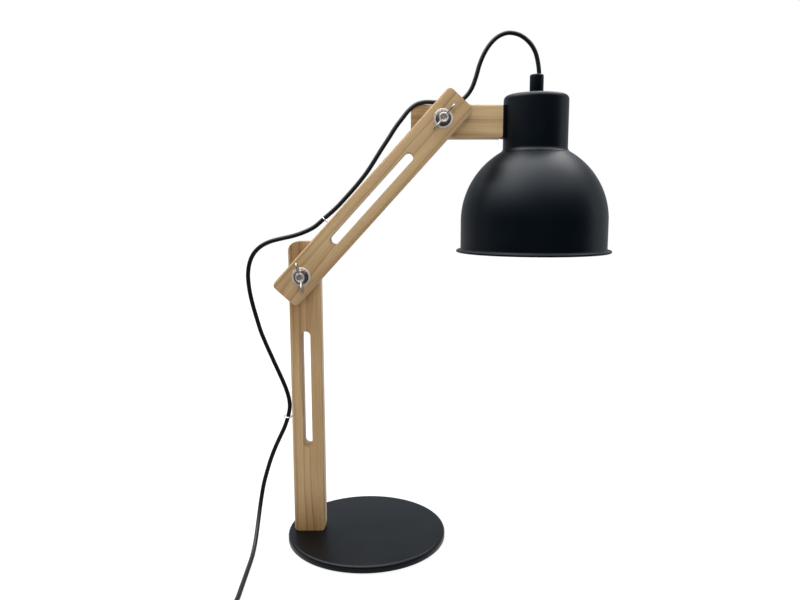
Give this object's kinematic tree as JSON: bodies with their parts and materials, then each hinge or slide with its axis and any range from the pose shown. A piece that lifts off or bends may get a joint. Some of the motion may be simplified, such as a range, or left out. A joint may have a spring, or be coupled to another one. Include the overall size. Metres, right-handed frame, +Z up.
{
  "type": "articulated desk lamp",
  "caption": "Articulated desk lamp with a round black base, slotted pine post and arm on wing-nut pivots, and a black bell-shaped metal shade with its cord, switch and plug.",
  "frame": {"origin": "centre of the base's underside, on the table", "axes": "+Z up, +X along the reach of the lamp towards the shade, -Y the side of the wing nuts"},
  "size_m": [0.3592, 0.3781, 0.503],
  "materials": {
    "pine": "bare pine, fine grain along each plank, lightly oiled",
    "black_paint": "satin black paint",
    "foot_pad": "matt foam",
    "steel": "bright zinc plated steel",
    "friction_fibre": "matt fibre",
    "brass": "turned brass",
    "black_plastic": "fine moulded texture",
    "rocker_plastic": "smooth",
    "cord_rubber": "satin black sheath",
    "tie_fabric": "woven hook-and-loop tape",
    "bulb_glass": "frosted",
    "bulb_metal": "thin drawn metal"
  },
  "bodies": {
    "base": {"base_plate": "black_paint", "base_pad": "foot_pad", "base_screws": "steel", "post": "pine", "post_screw_eye": "steel", "lower_bolt": "steel", "lower_friction_washer": "friction_fibre", "lower_washer": "steel", "lead_cord": "cord_rubber", "switch_base": "black_plastic", "switch_cover": "black_plastic", "switch_screws": "steel", "switch_sleeves": "cord_rubber", "link_cord": "cord_rubber", "cord_coil": "cord_rubber", "cord_tie": "tie_fabric", "plug_body": "black_plastic", "plug_pins": "steel"},
    "upper_arm": {"upper_arm": "pine", "arm_screw_eye": "steel", "arm_cord": "cord_rubber"},
    "head": {"head_arm": "pine", "upper_bolt": "steel", "upper_friction_washer": "friction_fibre", "upper_washer": "steel", "neck_saddle": "black_paint", "head_screws": "steel", "shade": "black_paint", "nipple": "brass", "nipple_nut": "brass", "cord_grip": "black_paint", "grip_screw": "steel", "holder_cap": "black_plastic", "holder_body": "black_plastic", "holder_shell": "brass", "holder_contact": "brass", "bulb_cap": "bulb_metal", "bulb_glass": "bulb_glass", "head_cord": "cord_rubber"},
    "lower_wing_nut": {"lower_wing_nut": "steel"},
    "upper_wing_nut": {"upper_wing_nut": "steel"},
    "switch_rocker": {"switch_rocker": "rocker_plastic"}
  },
  "joints": [
    {"name": "arm_tilt", "type": "hinge", "parent": "base", "child": "upper_arm", "pos_m": [-0.0582, 0.002, 0.2723], "axis": [0, -1, 0], "range_deg": [-30, 35], "deforming": ["arm_cord"]},
    {"name": "head_tilt", "type": "hinge", "parent": "upper_arm", "child": "head", "pos_m": [0.07616, 0.002, 0.41842], "axis": [0, -1, 0], "range_deg": [-35, 45], "deforming": ["head_cord"]},
    {"name": "lower_nut_turn", "type": "hinge", "parent": "base", "child": "lower_wing_nut", "pos_m": [-0.0582, 0.002, 0.2723], "axis": [0, -1, 0], "continuous": true},
    {"name": "upper_nut_turn", "type": "hinge", "parent": "head", "child": "upper_wing_nut", "pos_m": [0.07616, 0.002, 0.41842], "axis": [0, -1, 0], "continuous": true},
    {"name": "rocker_tilt", "type": "hinge", "parent": "base", "child": "switch_rocker", "pos_m": [-0.105, -0.2, 0.013], "axis": [1, 0, 0], "range_deg": [0, 16]}
  ]
}
